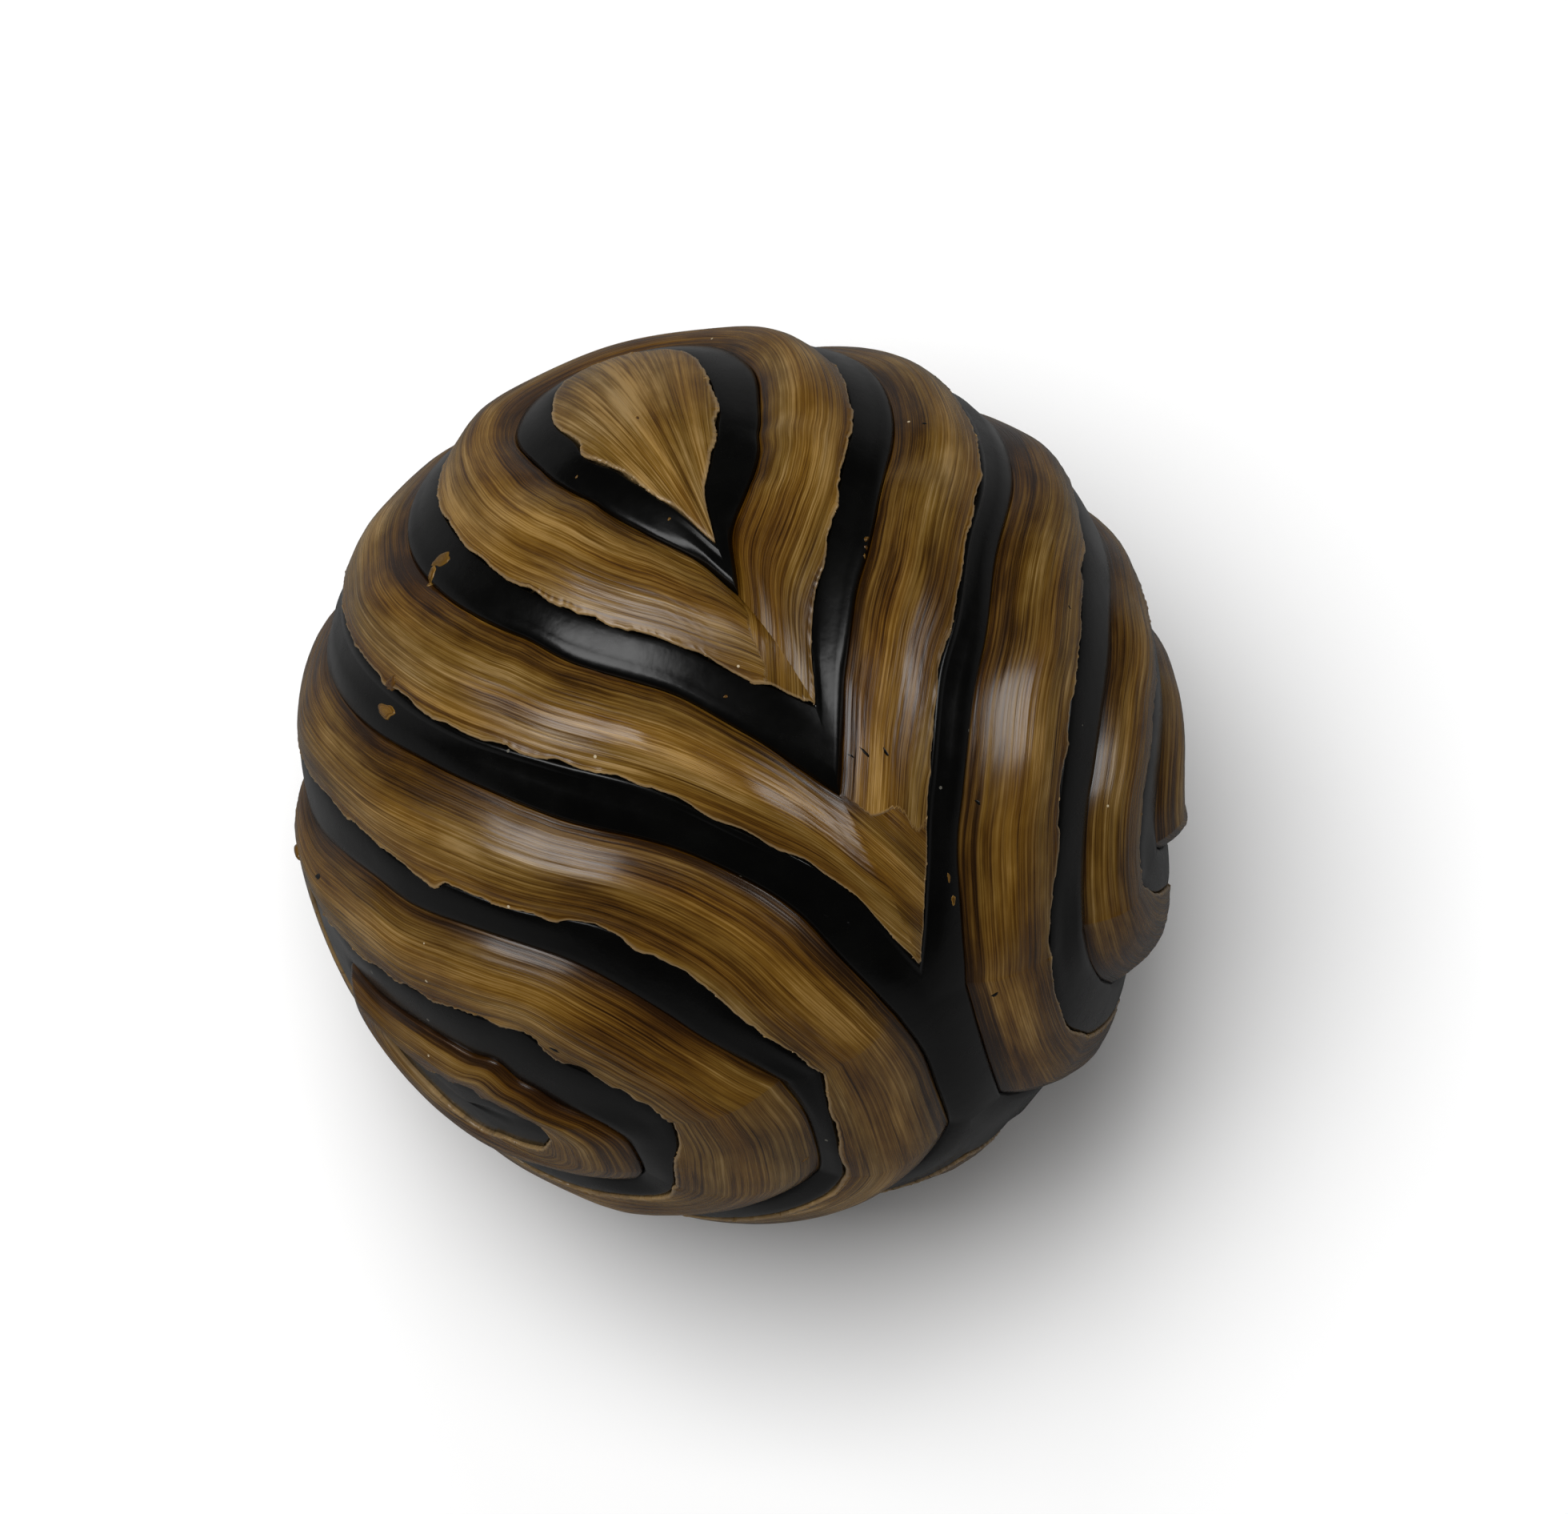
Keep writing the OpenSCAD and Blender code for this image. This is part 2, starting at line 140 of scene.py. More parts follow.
class Cell:
    """One of the four cells: the points of its border, and the angle out to each edge at each of them."""

    def __init__(self, name, ax, way, rows=None, lean=None):
        self.name, self.ax, self.way = name, ax, way
        self.t = bearing_of(ax, way)
        far = angle_of(ax, way)
        if rows is None:
            reach = len(way) // 50
            lap = np.arange(len(way)) * np.sign(np.median(np.diff(self.t))) * 360 / len(way)
            self.t = rounded(np.degrees(np.unwrap(np.radians(self.t))) - lap, reach) + lap
            far = rounded(far, reach)
            self.out = np.array([s * far * (BASE_ANGLE / far) ** ((1 - s) * 0.8) for s in BASE_SHARES])
        else:
            last = rows.shape[1] - 1
            scale = far / value(rows, last, self.t)
            self.out = np.array([0 * far] + [value(rows, c, self.t) * scale for c in range(1, last)] + [far])
        self.lean = np.array(lean or [0] * len(self.out))
        self.n = len(way)

    def at(self, q, slip=0.0):
        """Directions all the way round, q edges out from the focus and then slip millimetres further."""
        e = min(int(q), len(self.out) - 2)
        w = q - e
        angle = self.out[e] * (1 - w) + self.out[e + 1] * w + np.degrees(np.asarray(slip) / BALL_R)
        lean = self.lean[e] * (1 - w) + self.lean[e + 1] * w
        return spot(self.ax, self.t + lean * np.clip(1 - np.abs(self.t) / LEAN_FADES_BY, 0, 1), angle)


def make_cells(fine):
    crown_ax = axes(toward(110, 50), toward(-58, 37))

    def crown_border(start, end, n, packing):
        t = start + (end - start) * (np.arange(n + 1) / n) ** packing
        return spot(crown_ax, t, value(CROWN, 6, t))

    tip_left = crown_border(0, -150, 22 * fine, 1.6)
    tip_right = crown_border(0, 140, 20 * fine, 1.6)
    back_run = crown_border(-150, -220, 7 * fine, 1)
    tip, front = tip_left[0], toward(-58, 7)
    left_corner, right_corner = tip_left[-1], tip_right[-1]
    left_ax, right_ax = axes(toward(-128, 6), tip), axes(toward(7, -5), tip)
    base_ax = axes(toward(150, -80), front)

    def side_border(ax, rows, start, end, turn, n):
        a, b = bearing_of(ax, start), bearing_of(ax, end)
        if turn * (b - a) < 0:
            b += 360 * turn
        w = (np.arange(n + 1) / n) ** 1.3
        t = a + (b - a) * w
        first, last = angle_of(ax, start) / value(rows, 7, a), angle_of(ax, end) / value(rows, 7, b)
        return spot(ax, t, value(rows, 7, t) * (first + (last - first) * w))

    left_under = side_border(left_ax, LEFT, front, left_corner, -1, 18 * fine)
    right_under = side_border(right_ax, RIGHT, front, right_corner, 1, 18 * fine)
    w = (np.arange(4 * fine + 1) / (4 * fine))[:, None]
    short_run = unit(tip * (1 - w) + front * w)

    def loop(*runs):
        return np.concatenate([r[:-1] for r in runs])

    return {
        "crown": Cell("crown", crown_ax, loop(tip_right, back_run[::-1], tip_left[::-1]), CROWN, CROWN_LEAN),
        "left": Cell("left", left_ax, loop(tip_left, left_under[::-1], short_run[::-1]), LEFT),
        "right": Cell("right", right_ax, loop(short_run, right_under, tip_right[::-1]), RIGHT),
        "base": Cell("base", base_ax, loop(left_under, back_run, right_under[::-1])),
    }


DIP_AT, DIP_WIDE = toward(-58, 22), 16


def dip(p):
    """The shallow dip where the crown, left and right cells meet."""
    return np.exp(-((np.degrees(np.arccos(np.clip(p @ DIP_AT, -1, 1))) / DIP_WIDE) ** 2))


def surface(p, drop):
    """Points in the directions p, each its drop below the crests."""
    return p * (BALL_R - drop - dip(p))[:, None]


def wander(n, length, waves, seed):
    """Uneven closed wave round a ring of n points: waves are (wavelength, height) in millimetres."""
    rng = np.random.default_rng(seed)
    s = np.arange(n) / n
    total = np.zeros(n)
    for wavelength, height in waves:
        middle = max(1.0, length / wavelength)
        for k in range(max(1, int(middle * 0.6)), int(middle * 1.5) + 2):
            weight = height / math.sqrt(max(1.0, middle * 0.45))
            total += weight * rng.normal() * np.cos(2 * np.pi * (k * s + rng.random()))
    return total


def make_mesh(name, rows, closing, attributes):
    """Joins rings of points, listed from the focus outwards, into a closed surface that faces out.
    tube joins the last ring to the first, and ends closes both ends to their middle points."""
    n = len(rows[0])
    points = np.concatenate(rows)
    i = np.arange(n)
    j = (i + 1) % n
    faces = []
    pairs = [(r, r + 1) for r in range(len(rows) - 1)]
    if closing == "tube":
        pairs.append((len(rows) - 1, 0))
    for a, b in pairs:
        faces.append(np.stack([a * n + i, b * n + i, b * n + j, a * n + j], 1))
    quads = np.concatenate(faces)
    tris = np.zeros((0, 3), int)
    if closing == "ends":
        first, last = len(points), len(points) + 1
        points = np.concatenate([points, rows[0].mean(0)[None], rows[-1].mean(0)[None]])
        tris = np.concatenate([
            np.stack([np.full(n, first), i, j], 1),
            np.stack([np.full(n, last), (len(rows) - 1) * n + j, (len(rows) - 1) * n + i], 1)])
    return finish_mesh(name, points, quads, tris, attributes)


def finish_mesh(name, points, quads, tris, attributes=None):
    mesh = bpy.data.meshes.new(name)
    mesh.vertices.add(len(points))
    mesh.vertices.foreach_set("co", (points * MM).astype(np.float32).ravel())
    mesh.loops.add(quads.size + tris.size)
    mesh.loops.foreach_set("vertex_index", np.concatenate([quads.ravel(), tris.ravel()]).astype(np.int32))
    mesh.polygons.add(len(quads) + len(tris))
    starts = np.concatenate([np.arange(len(quads)) * 4, quads.size + np.arange(len(tris)) * 3])
    mesh.polygons.foreach_set("loop_start", starts.astype(np.int32))
    mesh.update(calc_edges=True)
    mesh.polygons.foreach_set("use_smooth", np.full(len(mesh.polygons), True))
    for key, data in (attributes or {}).items():
        kind = "FLOAT_VECTOR" if data.ndim == 2 else "FLOAT"
        layer = mesh.attributes.new(key, kind, "POINT")
        full = np.zeros((len(points), 3) if data.ndim == 2 else len(points), np.float32)
        full[: len(data)] = data
        layer.data.foreach_set("vector" if data.ndim == 2 else "value", full.ravel())
    return mesh


PLACED = []  # the pieces that make up the ball's outside


def place(name, mesh, material, slot, *nodes):
    piece = bpy.data.objects.new(name, mesh)
    bpy.context.scene.collection.objects.link(piece)
    mesh.materials.append(material)
    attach(piece, "root")
    if nodes:
        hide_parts(*nodes)
        PLACED.append(piece)


# ---------------------------------------------------------------- shader node groups and materials
def group(name, inputs, outputs):
    tree = bpy.data.node_groups.new(name, "ShaderNodeTree")
    for label, kind, start in inputs:
        socket = tree.interface.new_socket(label, in_out="INPUT", socket_type=kind)
        if start is not None:
            socket.default_value = start
    for label, kind in outputs:
        tree.interface.new_socket(label, in_out="OUTPUT", socket_type=kind)
    return tree, tree.nodes.new("NodeGroupInput"), tree.nodes.new("NodeGroupOutput")


def add(tree, kind, links=None, **settings):
    """A node with its settings, inputs set by name or number, from a value or another node's socket."""
    node = tree.nodes.new(kind)
    for key, setting in settings.items():
        setattr(node, key, setting)
    for key, source in (links or {}).items():
        if isinstance(source, bpy.types.NodeSocket):
            tree.links.new(source, node.inputs[key])
        else:
            node.inputs[key].default_value = source
    return node


def maths(tree, operation, a, b=0.5):
    return add(tree, "ShaderNodeMath", {0: a, 1: b}, operation=operation).outputs[0]


def weighted(tree, *pairs):
    """The sum of several sources, each times its weight."""
    total = None
    for source, weight in pairs:
        term = maths(tree, "MULTIPLY", source, weight)
        total = term if total is None else maths(tree, "ADD", total, term)
    return total


def span(tree, source, low, high, to_low=0.0, to_high=1.0):
    """Smoothly from one value to another as the source goes from low to high."""
    links = {"Value": source, "From Min": low, "From Max": high, "To Min": to_low, "To Max": to_high}
    return add(tree, "ShaderNodeMapRange", links, interpolation_type="SMOOTHSTEP").outputs["Result"]


def noise(tree, vector, scale, detail=2.0, roughness=0.5):
    links = {"Vector": vector, "Scale": scale, "Detail": detail, "Roughness": roughness}
    return add(tree, "ShaderNodeTexNoise", links).outputs["Fac"]


def stretched(tree, vector, along, across):
    """Texture room in which one unit is along millimetres by across millimetres."""
    links = {0: vector, 1: (1 / along, 1 / along, 1 / across)}
    return add(tree, "ShaderNodeVectorMath", links, operation="MULTIPLY").outputs[0]


def make_strokes_group():
    """Brush strokes that follow a band: a tone for the colour and a height for the grooves."""
    tree, given, out = group(
        "Brush strokes",
        [("Grain", "NodeSocketVector", None), ("Bend", "NodeSocketFloat", 0.5)],
        [("Tone", "NodeSocketFloat"), ("Hairs", "NodeSocketFloat"), ("Height", "NodeSocketFloat")])
    grain = given.outputs["Grain"]
    sway = noise(tree, stretched(tree, grain, 50, 12), 1, 1)
    shift = maths(tree, "MULTIPLY", maths(tree, "SUBTRACT", sway, 0.5), given.outputs["Bend"])
    sideways = add(tree, "ShaderNodeCombineXYZ", {"Z": shift}).outputs[0]
    bent = add(tree, "ShaderNodeVectorMath", {0: grain, 1: sideways}, operation="ADD").outputs[0]
    wide = noise(tree, stretched(tree, bent, 80, 1.9), 1, 2, 0.5)
    middle = noise(tree, stretched(tree, bent, 40, 0.4), 1, 3, 0.7)
    hairs = noise(tree, stretched(tree, bent, 20, 0.18), 1, 2, 0.6)
    blotch = noise(tree, stretched(tree, grain, 17, 5), 1, 4, 0.6)
    lines = 0
    for along, apart, thin in [(70, 1.0, 0.03), (36, 0.5, 0.045)]:
        line_room = noise(tree, stretched(tree, bent, along, apart), 1, 2, 0.5)
        off_line = maths(tree, "ABSOLUTE", maths(tree, "SUBTRACT", line_room, 0.5))
        lines = maths(tree, "ADD", span(tree, off_line, 0.0, thin), lines)
    dark_lines = maths(tree, "SUBTRACT", lines, 1.65)
    tone = weighted(tree, (wide, 0.17), (middle, 0.19), (hairs, 0.25), (blotch, 0.41), (dark_lines, 0.05))
    height = weighted(tree, (middle, 0.6), (hairs, 0.4))
    tree.links.new(tone, out.inputs["Tone"])
    tree.links.new(hairs, out.inputs["Hairs"])
    tree.links.new(height, out.inputs["Height"])
    return tree


def make_specks_group():
    """Dust and small scuffs, scattered over black and wood alike."""
    tree, given, out = group(
        "Specks",
        [("Vector", "NodeSocketVector", None), ("Size", "NodeSocketFloat", 1.0), ("Amount", "NodeSocketFloat", 0.1)],
        [("Specks", "NodeSocketFloat"), ("Cloud", "NodeSocketFloat")])
    in_millimetres = {0: given.outputs["Vector"], "Scale": 1 / MM}
    room = add(tree, "ShaderNodeVectorMath", in_millimetres, operation="SCALE").outputs[0]
    cells = add(tree, "ShaderNodeTexVoronoi", {"Vector": room, "Scale": 0.35}, feature="F1")
    pick = maths(tree, "LESS_THAN", add(tree, "ShaderNodeSeparateColor", {0: cells.outputs["Color"]}).outputs[0],
                 given.outputs["Amount"])
    near = maths(tree, "LESS_THAN", cells.outputs["Distance"], maths(tree, "MULTIPLY", given.outputs["Size"], 0.05))
    tree.links.new(maths(tree, "MULTIPLY", pick, near), out.inputs["Specks"])
    tree.links.new(noise(tree, room, 0.16, 4, 0.6), out.inputs["Cloud"])
    return tree


STROKES, SPECKS = make_strokes_group(), make_specks_group()


def new_material(name):
    material = bpy.data.materials.new(name)
    material.use_nodes = True
    tree = material.node_tree
    return material, tree, tree.nodes["Principled BSDF"]


def use(tree, group_tree, links):
    return add(tree, "ShaderNodeGroup", links, node_tree=group_tree)


def ramp(tree, source, stops):
    node = add(tree, "ShaderNodeValToRGB", {0: source})
    points = node.color_ramp.elements
    while len(points) < len(stops):
        points.new(0.5)
    for point, (position, colour) in zip(points, stops):
        point.position = position
        point.color = (*colour, 1)
    return node.outputs["Color"]


def mix(tree, amount, a, b, kind="MIX"):
    links = {0: amount, 6: a, 7: b}
    return add(tree, "ShaderNodeMix", links, data_type="RGBA", blend_type=kind).outputs[2]


def make_black():
    material, tree, shader = new_material("Black satin resin")
    where = add(tree, "ShaderNodeTexCoord").outputs["Object"]
    marks = use(tree, SPECKS, {"Vector": where, "Size": 1.4, "Amount": 0.1})
    dark = ramp(tree, marks.outputs["Cloud"], [(0.3, (0.0004, 0.0004, 0.0003)), (0.7, (0.0012, 0.0012, 0.001))])
    colour = mix(tree, marks.outputs["Specks"], dark, (0.09, 0.085, 0.07, 1))
    tree.links.new(colour, shader.inputs["Base Color"])
    tree.links.new(span(tree, marks.outputs["Cloud"], 0.3, 0.7, 0.2, 0.29), shader.inputs["Roughness"])
    shader.inputs["Specular IOR Level"].default_value = 0.325
    bump = add(tree, "ShaderNodeBump", {"Strength": 0.12, "Distance": 0.0006, "Height": marks.outputs["Cloud"]})
    tree.links.new(bump.outputs[0], shader.inputs["Normal"])
    return material


def make_wood():
    material, tree, shader = new_material("Brushed wood effect")
    grain = add(tree, "ShaderNodeAttribute", attribute_name="grain").outputs["Vector"]
    across = add(tree, "ShaderNodeAttribute", attribute_name="across").outputs["Fac"]
    where = add(tree, "ShaderNodeTexCoord").outputs["Object"]
    strokes = use(tree, STROKES, {"Grain": grain, "Bend": 1.2})
    marks = use(tree, SPECKS, {"Vector": where, "Size": 1.2, "Amount": 0.05})
    # Painted shade: the wood darkens towards its foot, down in the groove beside the black strip.
    foot = span(tree, across, 0.0, 0.38, -0.105, 0.0)
    # Tone shift per piece; on the right middle and right outer bands it is painted shade.
    tone_and_painted_shade = add(tree, "ShaderNodeAttribute", attribute_name="tone_and_painted_shade").outputs["Fac"]
    tone = maths(tree, "ADD", maths(tree, "ADD", strokes.outputs["Tone"], foot), tone_and_painted_shade)
    wood = ramp(tree, tone, [
        (0.36, (0.014, 0.0052, 0.0004)), (0.435, (0.046, 0.0195, 0.001)), (0.49, (0.085, 0.042, 0.004)),
        (0.545, (0.128, 0.071, 0.010)), (0.64, (0.256, 0.166, 0.055))])
    drift = span(tree, noise(tree, stretched(tree, grain, 30, 4), 1, 2), 0.35, 0.65)
    wood = mix(tree, 1.0, wood, mix(tree, drift, (1.04, 0.92, 0.7, 1), (0.96, 0.95, 1.1, 1)), "MULTIPLY")
    # Painted highlight: a lighter rim along each lip, where its raised edge catches the light.
    lip = span(tree, across, 0.975, 1.0)
    colour = mix(tree, maths(tree, "MULTIPLY", lip, 0.45), wood, (0.30, 0.21, 0.11, 1))
    colour = mix(tree, marks.outputs["Specks"], colour, (0.4, 0.33, 0.22, 1))
    tree.links.new(colour, shader.inputs["Base Color"])
    tree.links.new(span(tree, strokes.outputs["Hairs"], 0.3, 0.7, 0.2, 0.33), shader.inputs["Roughness"])
    shader.inputs["Specular IOR Level"].default_value = 0.5
    bump = add(tree, "ShaderNodeBump", {"Strength": 0.5, "Distance": 0.00009, "Height": strokes.outputs["Height"]})
    tree.links.new(bump.outputs[0], shader.inputs["Normal"])
    return material


BLACK, WOOD = make_black(), make_wood()

# ---------------------------------------------------------------- the bands
CREST_AT = 0.6  # where a band is highest, from its foot (0) to its lip (1)
FOOT_DROP, LIP_DROP = 2.1, 0.5
BOTTOM = 2.9  # drop of the undersides, which lie inside the black body
ROW_PITCH, FEWEST_ROWS, MOST_ROWS = 0.2, 24, 74  # of the rows of points across a band
HEART_ROWS = 40
LIP_WAVES = [(12, 0.11), (5, 0.035), (2.2, 0.022), (1.0, 0.018)]
BEAD_WAVES = [(5, 0.04), (1.6, 0.03)]
FAN_REACH, FAN_DRUM = 7, 22  # degrees that a heart's strokes meet beyond its tip, and the millimetres they turn about


def crest(v, at=CREST_AT, lip_drop=LIP_DROP, foot_drop=FOOT_DROP):
    """Drop of a band's surface below the crests, from its foot (v = 0) to its lip (v = 1)."""
    v = np.asarray(v, float)
    return foot_drop * np.clip(1 - v / at, 0, 1) ** 1.6 + lip_drop * np.clip((v - at) / (1 - at), 0, 1) ** 1.7


def ring_steps(cell, q):
    """Millimetres from each point of a ring to the next."""
    p = cell.at(q) * BALL_R
    return np.linalg.norm(np.roll(p, -1, 0) - p, axis=1)


def evened(width):
    """A band's width, with part of its variation taken out."""
    return 0.45 * width + 0.55 * width.mean()


def ragged_lip(length, n, seed):
    """How far a lip strays past its edge, and the paint that stands up along it."""
    bead = np.clip(wander(n, length, BEAD_WAVES, seed + 1) + 0.02, -0.02, 0.15)
    return wander(n, length, LIP_WAVES, seed), bead


def lip_rows(ragged, bead, drop):
    """Slip and drop of each row from the top of a lip, round its overhang, to the bottom."""
    level = np.zeros(len(ragged))
    return [
        (ragged + 0.05, drop + 0.04 - bead), (ragged + 0.11, drop + 0.13 - bead), (ragged + 0.10, drop + 0.26 + level),
        (ragged * 0.6 - 0.02, drop + 0.5 + level), (ragged * 0.3 - 0.1, 1.2 + level), (-0.2, level + BOTTOM)]


def grain_of(cell, q, v, width):
    """Where a row of points lies in the strokes' texture room: round a closed drum, and up it across the band."""
    steps = ring_steps(cell, q)
    s = np.concatenate([[0], np.cumsum(steps)[:-1]]) / steps.sum()
    drum = steps.sum() / (2 * np.pi)
    up = v * evened(width)
    return np.stack([drum * np.cos(2 * np.pi * s), drum * np.sin(2 * np.pi * s), up], 1)


def drips(cell, lip, places):
    """How far a lip bulges out in drips: each is (longitude, latitude, reach, width), steep on one side."""
    edge = cell.at(lip)
    total = np.zeros(cell.n)
    for lon, lat, reach, wide in places:
        middle = int(np.argmax(edge @ toward(lon, lat)))
        apart = np.linalg.norm(edge - edge[middle], axis=1) * BALL_R
        before = (np.arange(cell.n) - middle + cell.n // 2) % cell.n < cell.n // 2
        total += reach * np.exp(-((apart / np.where(before == (reach > 0), 0.35 * wide, wide)) ** 2))
    return total


def swept(cell, foot, lip, v, p, grain, width, sweep):
    """The strokes of one limb carried straight on through the tip, over the other limb for sweep degrees."""
    side = 1 if sweep > 0 else -1
    over = (cell.t * side >= 0) & (cell.t * side < abs(sweep) * v * (0.92 + 0.1 * math.cos(11 * v)))
    far, near = -30 * side, -4 * side  # points of the ring, before the tip
    middle = cell.at((foot + lip) / 2)
    along = unit(middle[near] - middle[far])
    across = unit(np.cross(along, middle[near]))
    foot_at, lip_at = cell.at(foot)[near], cell.at(lip)[near]
    across = across * np.sign((lip_at - foot_at) @ across)
    scale = evened(width)[near] / ((lip_at - foot_at) @ across)
    drum = ring_steps(cell, (foot + lip) / 2).sum() / (2 * np.pi)
    turn = side * ((p - middle[near]) @ along) * BALL_R / drum
    moved = np.stack([drum * np.cos(turn), drum * np.sin(turn), ((p - foot_at) @ across) * scale], 1)
    return np.where(over[:, None], moved, grain)


def attributes_of(rows, grain, across, tone_and_painted_shade):
    return {"grain": np.concatenate(grain), "across": np.concatenate(across),
            "tone_and_painted_shade": np.full(len(rows) * len(rows[0]), tone_and_painted_shade)}


def make_band(name, cell, edge, lip_out, seed, sweep=0, crest_at=CREST_AT, lip_drop=LIP_DROP,
              foot_drop=FOOT_DROP, tone_and_painted_shade=0.0):
    """A band between two edges, with its lip on the outer edge or on the inner one."""
    n = cell.n
    foot, lip = (edge, edge + 1) if lip_out else (edge + 1, edge)
    out = 1 if lip_out else -1
    width = np.radians(np.abs(cell.out[edge + 1] - cell.out[edge])) * BALL_R
    length = ring_steps(cell, lip).sum()
    ragged, bead = ragged_lip(length, n, seed)
    ragged += drips(cell, lip, DRIPS.get(name, []))
    swell = wander(n, length, [(60, 0.12), (22, 0.07)], seed + 2)
    turning = wander(n, length, [(25, 0.10), (8, 0.04)], seed + 3)
    count = int(np.clip(width.mean() / ROW_PITCH, FEWEST_ROWS, MOST_ROWS))
    rows, grain, across = [], [], []

    def row(v, slip, drop):
        p = cell.at(foot + (lip - foot) * v, out * slip)
        rows.append(surface(p, drop))
        lines = grain_of(cell, edge + 0.5, v, width)
        grain.append(swept(cell, foot, lip, v, p, lines, width, sweep) if sweep else lines)
        across.append(np.full(n, v))

    level = np.zeros(n)
    row(0, 0, level + BOTTOM)
    row(0, 0.02, FOOT_DROP + 0.3 + level)
    row(0, 0.05, FOOT_DROP + 0.02 + level)
    for v in np.concatenate([[0.012], np.arange(1, count) / count, [1 - 0.4 / count]]):
        near = np.clip((v - 0.93) / 0.07, 0, 1)
        hump = 1 - (2 * v - 1) ** 2
        slip = turning * (1 - v) * 0.5 + ragged * near
        row(v, slip, crest(v, crest_at, lip_drop, foot_drop) - swell * hump - bead * near**2)
    for slip, drop in lip_rows(ragged, bead, lip_drop):
        row(1, slip, drop)
    row(0.5, 0, level + BOTTOM)
    if not lip_out:
        for rings in (rows, grain, across):
            rings.reverse()
    return make_mesh(name, rows, "tube", attributes_of(rows, grain, across, tone_and_painted_shade))


def make_heart(name, cell, tip_bearing, seed, tone_and_painted_shade):
    """The patch in the middle of a pointed cell, its strokes running towards the tip."""
    n = cell.n
    ragged, bead = ragged_lip(ring_steps(cell, 1).sum(), n, seed)
    rows, grain, across = [], [], []
    fan_at = spot(cell.ax, np.array(tip_bearing), np.array(angle_of(cell.ax, cell.at(1)[0]) + FAN_REACH))

    def row(q, slip, drop):
        p = cell.at(q, slip)
        rows.append(surface(p, drop))
        flat = (p - fan_at) @ cell.ax[1:].T * BALL_R
        away = np.hypot(flat[:, 0], flat[:, 1])
        grain.append(np.stack([away, 0 * away, np.unwrap(np.arctan2(flat[:, 1], -flat[:, 0])) * FAN_DRUM], 1))
        across.append(np.full(n, 0.5 + 0.5 * q))

    for q in np.linspace(0.03, 0.98, HEART_ROWS):
        near = np.clip((q - 0.9) / 0.1, 0, 1)
        row(q, ragged * near, LIP_DROP * q**4 - bead * near**2)
    for slip, drop in lip_rows(ragged, bead, LIP_DROP):
        row(1, slip, drop)
    for q in (0.5, 0.05):
        row(q, 0, np.full(n, BOTTOM))
    return make_mesh(name, rows, "ends", attributes_of(rows, grain, across, tone_and_painted_shade))


